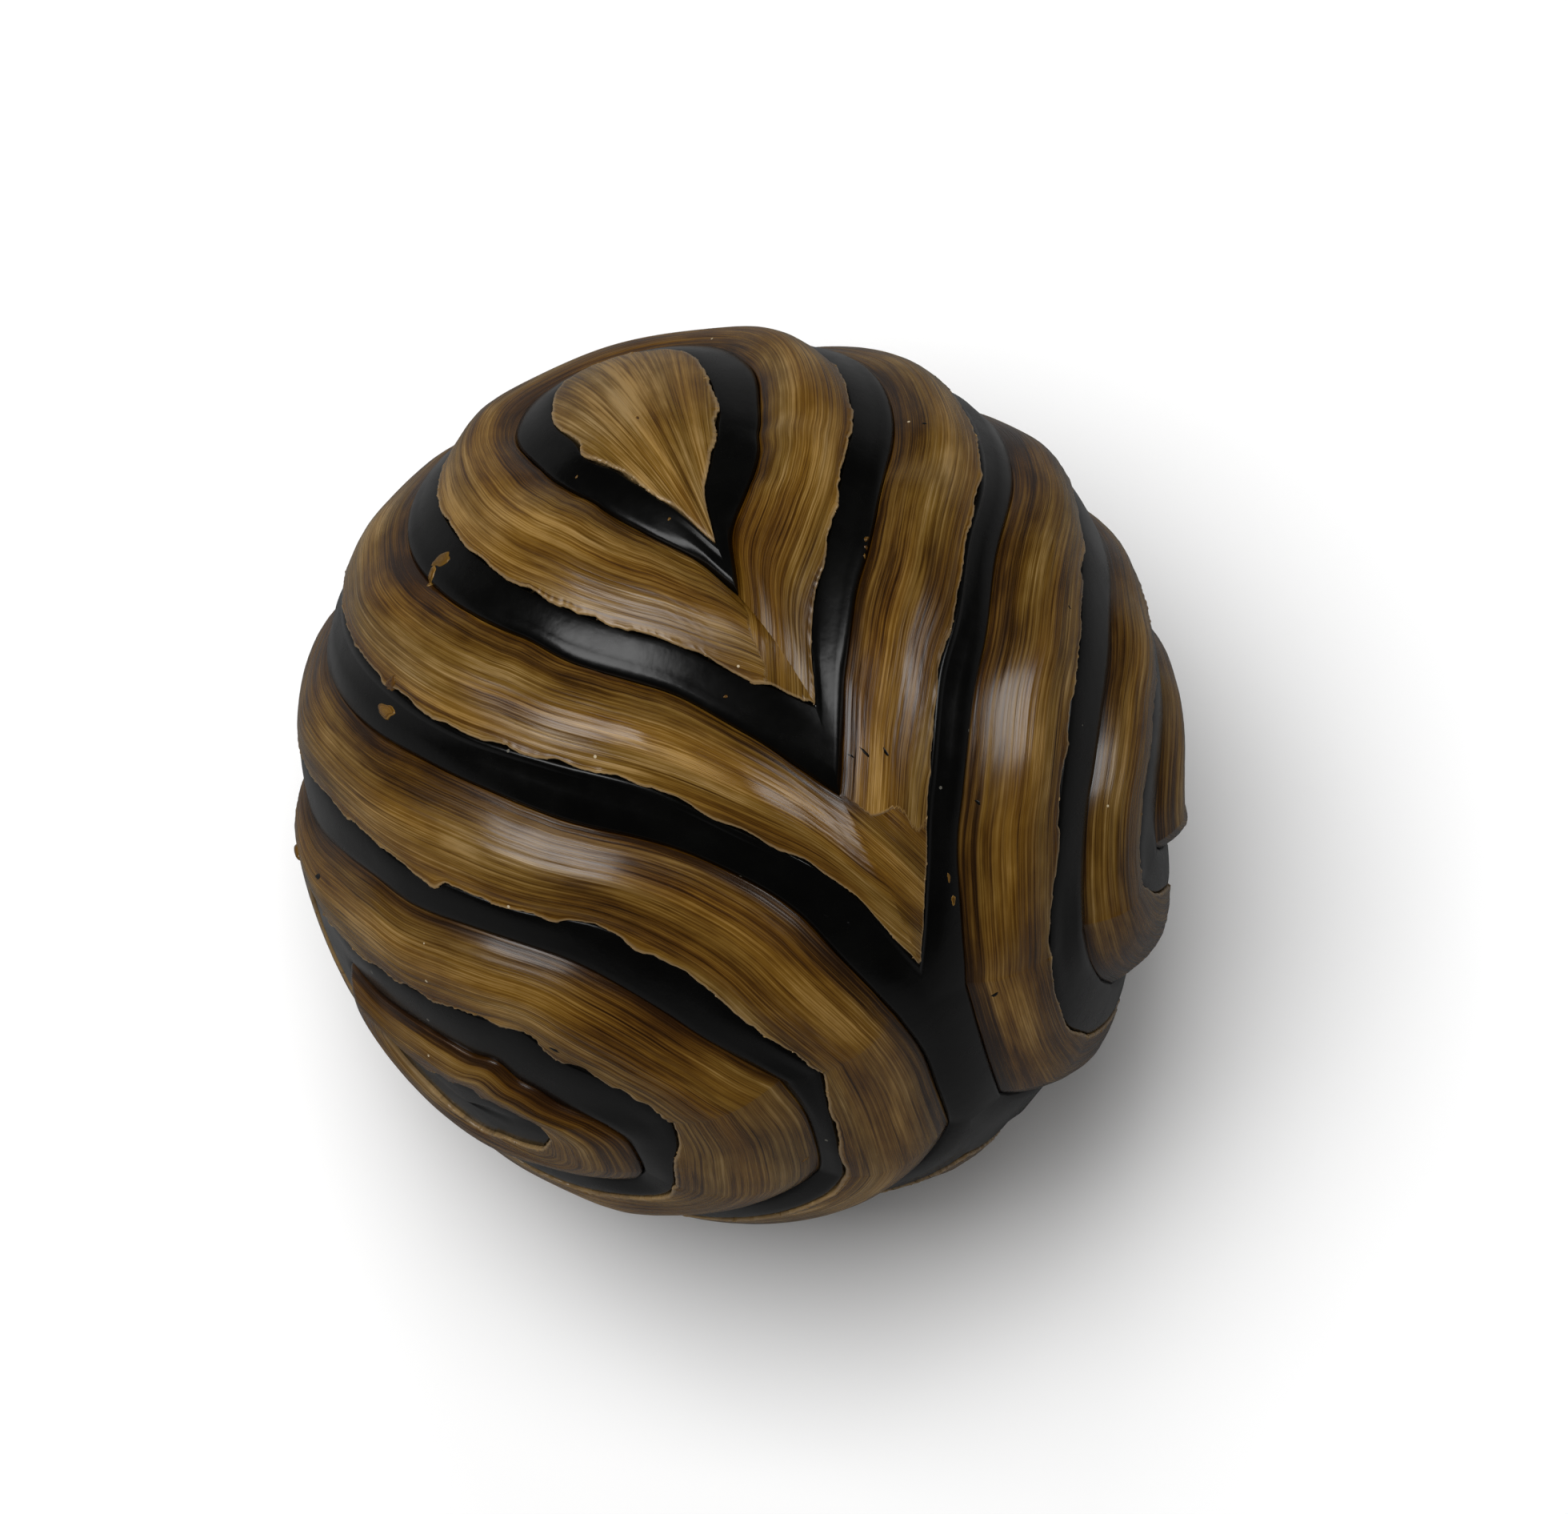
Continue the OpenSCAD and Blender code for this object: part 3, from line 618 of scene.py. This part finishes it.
def make_relief_tree():
    """Geometry Nodes: presses the brush strokes into a band's surface and leaves crumbs along its lip."""
    tree = bpy.data.node_groups.new("Brushed relief and lip crumbs", "GeometryNodeTree")
    lengths = ["Depth", "Length", "Spacing", "Crumb density", "Crumb size", "Crumbs from"]
    for label, kind in [("Geometry", "Geometry"), *((label, "Float") for label in lengths),
                        ("Seed", "Int"), ("Material", "Material")]:
        tree.interface.new_socket(label, in_out="INPUT", socket_type="NodeSocket" + kind)
    tree.interface.new_socket("Geometry", in_out="OUTPUT", socket_type="NodeSocketGeometry")
    given = tree.nodes.new("NodeGroupInput").outputs
    out = tree.nodes.new("NodeGroupOutput")

    def chosen(node):
        return next(socket for socket in node.outputs if socket.enabled)

    grain = chosen(add(tree, "GeometryNodeInputNamedAttribute", {"Name": "grain"}, data_type="FLOAT_VECTOR"))
    across = chosen(add(tree, "GeometryNodeInputNamedAttribute", {"Name": "across"}, data_type="FLOAT"))
    pitch = add(tree, "ShaderNodeCombineXYZ", {"X": given["Length"], "Y": given["Length"], "Z": given["Spacing"]})
    room = add(tree, "ShaderNodeVectorMath", {0: grain, 1: pitch.outputs[0]}, operation="DIVIDE").outputs[0]
    wave = maths(tree, "SUBTRACT", noise(tree, room, 1, 2, 0.6), 0.5)
    clear = maths(tree, "MULTIPLY", span(tree, across, 0.0, 0.1), span(tree, across, 0.94, 0.99, 1.0, 0.0))
    push = maths(tree, "MULTIPLY", maths(tree, "MULTIPLY", wave, given["Depth"]), clear)
    normal = add(tree, "GeometryNodeInputNormal").outputs["Normal"]
    offset = add(tree, "ShaderNodeVectorMath", {0: normal, "Scale": push}, operation="SCALE").outputs[0]
    pressed = add(tree, "GeometryNodeSetPosition", {"Geometry": given["Geometry"], "Offset": offset}).outputs[0]

    on_lip = add(tree, "FunctionNodeCompare", {0: across, 1: given["Crumbs from"]}, operation="GREATER_THAN").outputs[0]
    points = add(tree, "GeometryNodeDistributePointsOnFaces", {
        "Mesh": pressed, "Selection": on_lip, "Density": given["Crumb density"], "Seed": given["Seed"]})
    crumb = add(tree, "GeometryNodeMeshIcoSphere", {"Radius": given["Crumb size"], "Subdivisions": 1}).outputs["Mesh"]

    def random_vector(low, high):
        node = add(tree, "FunctionNodeRandomValue", data_type="FLOAT_VECTOR")
        node.inputs[0].default_value, node.inputs[1].default_value = low, high
        tree.links.new(given["Seed"], node.inputs["Seed"])
        return chosen(node)

    crumbs = add(tree, "GeometryNodeInstanceOnPoints", {
        "Points": points.outputs["Points"], "Instance": crumb, "Rotation": points.outputs["Rotation"],
        "Scale": random_vector((0.5, 0.35, 0.3), (1.9, 1.1, 0.8))}).outputs[0]
    spread = random_vector((-30, -30, 0), (30, 30, 10))
    crumbs = add(tree, "GeometryNodeStoreNamedAttribute", {"Geometry": crumbs, "Name": "grain", "Value": spread},
                 data_type="FLOAT_VECTOR", domain="INSTANCE").outputs[0]
    # The crumbs count as lip, so they take its painted highlight too.
    crumbs = add(tree, "GeometryNodeStoreNamedAttribute", {"Geometry": crumbs, "Name": "across", "Value": 0.99},
                 data_type="FLOAT", domain="INSTANCE").outputs[0]
    loose = add(tree, "GeometryNodeRealizeInstances", {"Geometry": crumbs}).outputs[0]
    joined = add(tree, "GeometryNodeJoinGeometry").inputs[0]
    tree.links.new(pressed, joined)
    tree.links.new(loose, joined)
    real = add(tree, "GeometryNodeRealizeInstances", {"Geometry": joined.node.outputs[0]}).outputs[0]
    done = add(tree, "GeometryNodeSetMaterial", {"Geometry": real, "Material": given["Material"]}).outputs[0]
    tree.links.new(done, out.inputs[0])
    return tree


def grown(mesh, tree, **inputs):
    """The mesh after the node tree, as a plain mesh."""
    holder = bpy.data.objects.new("holder", mesh)
    bpy.context.scene.collection.objects.link(holder)
    modifier = holder.modifiers.new("growth", "NODES")
    modifier.node_group = tree
    sockets = {item.name: item.identifier for item in tree.interface.items_tree if item.in_out == "INPUT"}
    for label, setting in inputs.items():
        modifier[sockets[label.replace("_", " ")]] = setting
    done = bpy.data.meshes.new_from_object(holder.evaluated_get(bpy.context.evaluated_depsgraph_get()))
    holder.modifiers.clear()
    bpy.data.objects.remove(holder)
    done.materials.clear()
    return done


RELIEF = make_relief_tree()


def brushed(mesh, seed):
    """The mesh with strokes 45 by 0.45 mm and 0.21 mm deep, and crumbs about 0.26 mm across along its lip."""
    return grown(mesh, RELIEF, Depth=0.21 * MM, Length=45.0, Spacing=0.45, Crumb_density=320000.0,
                 Crumb_size=0.13 * MM, Crumbs_from=0.985, Seed=seed, Material=WOOD)


# Drips and bites along the lips: longitude, latitude, reach in millimetres (a bite is negative) and width.
DRIPS = {
    "left_outer_band": [
        (-150, 40, 0.9, 2.2), (-127, 49, 0.5, 2.4), (-109, 50, 0.55, 2.0), (-170, 30, 0.4, 1.8), (-90, 40, -0.3, 1.2)],
    "left_middle_band": [(-115, 28, -0.5, 1.6), (-108, 28, 0.35, 1.0), (-103, 29, 0.45, 1.2), (-96, 27, -0.3, 0.8)],
    "left_inner_band": [(-125, 8, 0.2, 1.0)],
    "right_outer_band": [
        (-40, 42, 0.25, 0.7), (-30, 50, -0.25, 0.9), (-46, 33, 0.3, 0.8), (-10, 57, 0.2, 0.7), (16, 41, -0.2, 0.8)],
    "right_middle_band": [(-30, 25, 0.3, 1.2), (-6, 40, 0.25, 1.0), (20, 28, -0.3, 1.0)],
    "crown_inner_band": [(173, 66, 0.25, 1.6), (-70, 86, 0.45, 1.4), (60, 60, -0.2, 1.0)],
    "crown_outer_band": [(-179, 36, 0.5, 1.6), (-52, 42, 0.3, 0.9), (35, 52, -0.25, 1.0), (49, 35, 0.2, 0.9)],
    "base_outer_band": [(-61, 4, 0.5, 1.6), (120, -30, 0.4, 1.5), (-160, -28, 0.4, 1.8)]}
# Where a band differs from the others: sweep is degrees at the tip, and the tone shift lightens its tone or darkens it;
# on the right middle and right outer bands the darkening is painted shade, on the side turned from the light.
SHAPES = {
    "crown_inner_band": {"sweep": -7, "crest_at": 0.52, "lip_drop": 0.9, "tone_and_painted_shade": 0.012},
    "crown_outer_band": {"sweep": 8.5, "tone_and_painted_shade": 0.006},
    "left_inner_band": {"tone_and_painted_shade": -0.012, "lip_drop": 0.4, "foot_drop": 1.6},
    "left_outer_band": {"tone_and_painted_shade": 0.004},
    "right_inner_band": {"tone_and_painted_shade": 0.004},
    # Painted shade: these two bands are darkened for the side turned from the light.
    "right_middle_band": {"tone_and_painted_shade": -0.014},
    "right_outer_band": {"tone_and_painted_shade": -0.016}}
HEART_SHADE = 0.04
cells = make_cells(FINE)
for number, (cell_name, part, edge, lip_out) in enumerate([
    ("crown", "inner", 2, True), ("crown", "outer", 4, True),
    ("left", "inner", 1, False), ("left", "middle", 3, False), ("left", "outer", 5, False),
    ("right", "inner", 1, False), ("right", "middle", 3, False), ("right", "outer", 5, False),
    ("base", "inner", 2, True), ("base", "outer", 4, True)]):
    name = f"{cell_name}_{part}_band"
    mesh = make_band(name, cells[cell_name], edge, lip_out, 20 + 10 * number, **SHAPES.get(name, {}))
    place("brushed_" + name, brushed(mesh, number), WOOD, "band", name)
for number, (cell_name, tip_bearing) in enumerate([("crown", -4), ("base", 0)]):
    mesh = make_heart(f"{cell_name}_heart", cells[cell_name], tip_bearing, 301 + 10 * number, HEART_SHADE)
    place(f"brushed_{cell_name}_heart", brushed(mesh, 20 + number), WOOD, "band", f"{cell_name}_heart")


# ---------------------------------------------------------------- the body
BED = 2.6  # drop of the body under the bands
BORDER_DROP = 1.1
TIP_DROP, TIP_REACH = 1.05, 9  # the strips are level near a cell's tip, within about so many degrees of it
CROWN_SINK = 0.38  # the crown's outer strip lies a little lower


def black_strip(lip, foot, out, sink=0.0):
    """Rows of a black strip from beside a lip to beside the next band's foot: (edge, slip, drop). The rows between
    the shoulders have the two shoulders and a share of the way in place of an edge, so that they never cross."""
    near, far = (lip, 0.5 * out), (foot, -0.55 * out)
    rows = [(lip, slip * out, drop) for slip, drop in [
        (-0.5, 2.6), (-0.2, 1.5), (0.02, 1.15), (0.14, 0.94), (0.3, 0.82), (0.5, 0.79)]]
    rows += [((near, far, w), 0, drop) for w, drop in [
        (0.12, 0.82), (0.26, 0.9), (0.41, 1.02), (0.55, 1.15), (0.7, 1.28), (0.84, 1.41)]]
    rows += [(foot, slip * out, drop) for slip, drop in [
        (-0.55, 1.56), (-0.32, 1.68), (-0.16, 1.82), (-0.04, 2.05), (0.08, 2.35), (0.4, 2.7)]]

    def sunk(k, drop):
        if k < 4:
            return drop + sink
        return drop + sink * min(1, (1.6 - drop) / 0.8) if drop < 1.4 else drop

    return [(q, slip, sunk(k, drop)) for k, (q, slip, drop) in enumerate(rows)]


def body_rows(cell):
    """All the rows of a cell, from its focus to its border. The black lies outside the lips in the crown and the
    base, and inside them in the left and right cells, which have a black lens in the middle."""
    if cell.name in ("crown", "base"):
        sink = CROWN_SINK if cell.name == "crown" else 0
        return [
            (0.1, 0, 2.4), (0.5, 0, BED), *black_strip(1, 2, 1), (2.5, 0, BED), *black_strip(3, 4, 1, sink),
            (4.5, 0, BED), *black_strip(5, 5.9, 1)[:10]]
    return [
        (0.08, 0, 0.9), (0.3, 0, 0.88), (0.6, 0, 0.84), *black_strip(1, 0, -1)[5::-1],
        (1.5, 0, BED), *black_strip(3, 2, -1)[::-1], (3.5, 0, BED), *black_strip(5, 4, -1)[::-1],
        (5.5, 0, BED), *black_strip(7, 6, -1)[:-7:-1]]


def way_of(cell, q, slip):
    """Directions of one row: beside an edge, or part of the way between a strip's two shoulders."""
    if not isinstance(q, tuple):
        return cell.at(q, slip)
    near, far, w = q
    return unit(cell.at(*near) * (1 - w) + cell.at(*far) * w)


def make_body(name):
    """The black surface of all four cells, which share the points of their borders."""
    coarse = make_cells(BODY_FINE)
    quads, tris, border, key_of = [], [], [], {}
    for cell in coarse.values():
        for p in cell.way:
            key = tuple(np.round(p, 6))
            if key not in key_of:
                key_of[key] = len(border)
                border.append(p)
    points = [surface(np.array(border), np.full(len(border), BORDER_DROP))]
    start = len(border)
    for cell in coarse.values():
        n = cell.n
        rim = np.array([key_of[tuple(np.round(p, 6))] for p in cell.way])
        i = np.arange(n)
        j = (i + 1) % n
        first_row = len(points)
        rings = []
        for q, slip, drop in body_rows(cell):
            level = np.exp(-((cell.t / TIP_REACH) ** 2)) if 0.85 < drop < 1.5 and slip == 0 else 0
            points.append(surface(way_of(cell, q, slip), drop + (TIP_DROP - drop) * level + np.zeros(n)))
            rings.append(start + i)
            start += n
        rings.append(rim)
        for a, b in zip(rings[:-1], rings[1:]):
            quads.append(np.stack([a[i], b[i], b[j], a[j]], 1))
        points.append(points[first_row].mean(0)[None])
        tris.append(np.stack([np.full(n, start), rings[0][i], rings[0][j]], 1))
        start += 1
    return finish_mesh(name, np.concatenate(points), np.concatenate(quads), np.concatenate(tris))


place("black_body", make_body("black_body"), BLACK, "body", "ball_body")


# ---------------------------------------------------------------- stray paint and dark knots
BLOB_POINTS = 20
BLOB_ROWS = [(0.12, 1.0), (0.4, 0.95), (0.7, 0.75), (0.9, 0.42), (1.0, 0.0), (0.95, -1.2), (0.3, -1.2)]


def skin_radius(way):
    """Distance from the centre to the outside of the ball in one direction, in millimetres."""
    start = Vector(way * 0.06)
    hits = [piece.ray_cast(start, -start.normalized()) for piece in PLACED]
    return max(spot_at.length for hit, spot_at, _, _ in hits if hit) / MM


def blob(lon, lat, long, wide, high, turn, seed):
    """A small uneven mound on the surface, long by wide millimetres and turned from east. Its rows are a share of
    the way out from its middle and a lift of so many times its height, the last of them under the surface."""
    rng = np.random.default_rng(seed)
    way = toward(lon, lat)
    east = unit(np.cross(np.array([0.0, 0.0, 1.0]), way))
    north = np.cross(way, east)
    bearing = np.arange(BLOB_POINTS) / BLOB_POINTS * 2 * np.pi
    uneven = 1 + 0.2 * rng.random() * np.cos(2 * bearing + rng.random() * 6)
    uneven = uneven + 0.12 * np.cos(3 * bearing + rng.random() * 6)
    uneven += 0.08 * np.cos(5 * bearing + rng.random() * 6)
    a = math.radians(turn)
    rows = []
    for share, lift in BLOB_ROWS:
        x, y = share * long / 2 * np.cos(bearing) * uneven, share * wide / 2 * np.sin(bearing) * uneven
        side = np.outer(x * math.cos(a) - y * math.sin(a), east) + np.outer(x * math.sin(a) + y * math.cos(a), north)
        p = unit(way * BALL_R + side)
        rows.append(p * np.array([skin_radius(d) + lift * high for d in p])[:, None])
    return rows


def scatter(name, material, slot, blobs):
    """One piece made of several blobs."""
    ring, after = np.arange(BLOB_POINTS), (np.arange(BLOB_POINTS) + 1) % BLOB_POINTS
    points, quads, tris, start = [], [], [], 0
    for seed, spec in enumerate(blobs):
        rows = blob(*spec, seed)
        points += rows + [rows[0].mean(0)[None], rows[-1].mean(0)[None]]
        starts = start + np.arange(len(rows)) * BLOB_POINTS
        for a, b in zip(starts[:-1], starts[1:]):
            quads.append(np.stack([a + ring, b + ring, b + after, a + after], 1))
        first = starts[-1] + BLOB_POINTS
        tris.append(np.stack([np.full(BLOB_POINTS, first), start + ring, start + after], 1))
        tris.append(np.stack([np.full(BLOB_POINTS, first + 1), starts[-1] + after, starts[-1] + ring], 1))
        start = first + 2
    strokes = np.stack([np.linspace(-20, 20, start), np.linspace(8, -8, start), np.linspace(0, 9, start)], 1)
    mesh = finish_mesh(name, np.concatenate(points), np.concatenate(quads), np.concatenate(tris),
                       {"grain": strokes, "across": np.full(start, 0.6)})
    place(name, mesh, material, slot)


# Each: longitude, latitude, then long, wide and high in millimetres, and the turn in degrees.
scatter("paint_chips", WOOD, "band", [
    (154, 42, 2.7, 1.6, 0.16, -60), (157, 41, 2.0, 1.2, 0.14, -20), (-179, 38, 3.1, 1.5, 0.18, 70),
    (177, 40, 2.1, 1.2, 0.15, 110), (45, 66, 0.6, 0.4, 0.12, 30), (47, 65, 0.8, 0.45, 0.12, 80),
    (43, 67, 0.5, 0.4, 0.1, 0), (114, 68, 0.35, 0.3, 0.08, 0), (127, 53, 0.35, 0.25, 0.08, 0),
    (-108, 85, 0.45, 0.3, 0.08, 45), (-43, 50, 1.0, 0.4, 0.04, 70), (-45, 47, 1.2, 0.5, 0.04, 60),
    (-169, 3, 2.6, 1.8, 0.4, 60), (-81, 13, 0.8, 0.4, 0.08, 20), (100, 20, 0.9, 0.5, 0.1, 0),
    (60, -5, 0.7, 0.5, 0.1, 50)])
scatter("dark_knots", BLACK, "body", [
    (-35, 70, 1.3, 0.26, 0.02, 80), (-31, 68, 0.9, 0.3, 0.02, 60), (-39, 71, 0.7, 0.2, 0.02, 100),
    (-27, 53, 0.7, 0.3, 0.02, 80), (-48, 30, 0.9, 0.35, 0.02, 20), (-163, 12, 1.1, 0.6, 0.02, 60),
    (-118, 31, 1.2, 0.4, 0.02, 10), (-70, 55, 0.5, 0.2, 0.02, -40), (-66, 53, 0.4, 0.16, 0.02, -60),
    (16, 41, 0.5, 0.22, 0.02, 60), (12, 39, 0.45, 0.2, 0.02, 30), (57, 41, 0.5, 0.3, 0.02, 0)])

# ---------------------------------------------------------------- floor, lights and camera
HALF_FLOOR = 3  # metres
LIGHT_DISTANCE = 1.2  # metres
floor_mesh = bpy.data.meshes.new("floor")
corners = [(x * HALF_FLOOR, y * HALF_FLOOR, -BALL_R * MM) for x, y in ((-1, -1), (1, -1), (1, 1), (-1, 1))]
floor_mesh.from_pydata(corners, [], [(0, 1, 2, 3)])
floor = bpy.data.objects.new("floor", floor_mesh)
bpy.context.scene.collection.objects.link(floor)
paint, tree, shader = new_material("Pale floor")
path = add(tree, "ShaderNodeLightPath")
pale = mix(tree, path.outputs["Is Glossy Ray"], (0.9, 0.9, 0.9, 1), (0.15, 0.15, 0.15, 1))
tree.links.new(pale, shader.inputs["Base Color"])
shader.inputs["Roughness"].default_value = 1.0
shader.inputs["Specular IOR Level"].default_value = 0.0
floor_mesh.materials.append(paint)


def softbox(name, azimuth, elevation, width, height, power, seen_in_gloss):
    """A rectangular light that faces the ball, and either lights it or is seen in its gloss."""
    data = bpy.data.lights.new(name, "AREA")
    data.shape, data.size, data.size_y, data.energy = "RECTANGLE", width, height, power
    lamp = bpy.data.objects.new(name, data)
    lamp.location = Vector(toward(azimuth, elevation)) * LIGHT_DISTANCE
    lamp.rotation_euler = (-lamp.location).to_track_quat("-Z", "Y").to_euler()
    lamp.visible_glossy, lamp.visible_diffuse = seen_in_gloss, not seen_in_gloss
    bpy.context.scene.collection.objects.link(lamp)


softbox("overhead_light", 178, 77.5, 0.78, 0.78, 16.2, False)
softbox("back_light", 95, 38, 0.5, 0.5, 2.2, False)
softbox("left_window", 174, 50, 0.5, 0.66, 6.013, True)
softbox("right_window", 14, 46, 0.38, 0.62, 3.855, True)

world = bpy.data.worlds.new("Studio")
bpy.context.scene.world = world
world.use_nodes = True
tree = world.node_tree
path = add(tree, "ShaderNodeLightPath")
level = maths(tree, "ADD", maths(tree, "MULTIPLY", path.outputs["Is Camera Ray"], 0.74), 0.21)
level = maths(tree, "SUBTRACT", level, maths(tree, "MULTIPLY", path.outputs["Is Glossy Ray"], 0.17))
tree.links.new(level, tree.nodes["Background"].inputs["Strength"])
tree.nodes["Background"].inputs["Color"].default_value = (1, 1, 1, 1)
bpy.context.scene.view_settings.view_transform = "Standard"

# The camera looks down on the ball from the front, aimed a little to its right and above its middle.
LENS, FILM, ELEVATION = 300.0, 36.0, math.radians(75)
EYE_DISTANCE, EYE_RIGHT, EYE_UP = 1337.7, 4.58, 1.96  # millimetres
right = np.array([1, 0, 0])
up = np.array([0, math.sin(ELEVATION), math.cos(ELEVATION)])
back = np.array([0, -math.cos(ELEVATION), math.sin(ELEVATION)])
camera = bpy.data.cameras.new("camera")
camera.lens, camera.sensor_width = LENS, FILM
eye = bpy.data.objects.new("camera", camera)
eye.location = (right * EYE_RIGHT + up * EYE_UP + back * EYE_DISTANCE) * MM
eye.rotation_euler = (math.pi / 2 - ELEVATION, 0, 0)
bpy.context.scene.collection.objects.link(eye)
bpy.context.scene.camera = eye
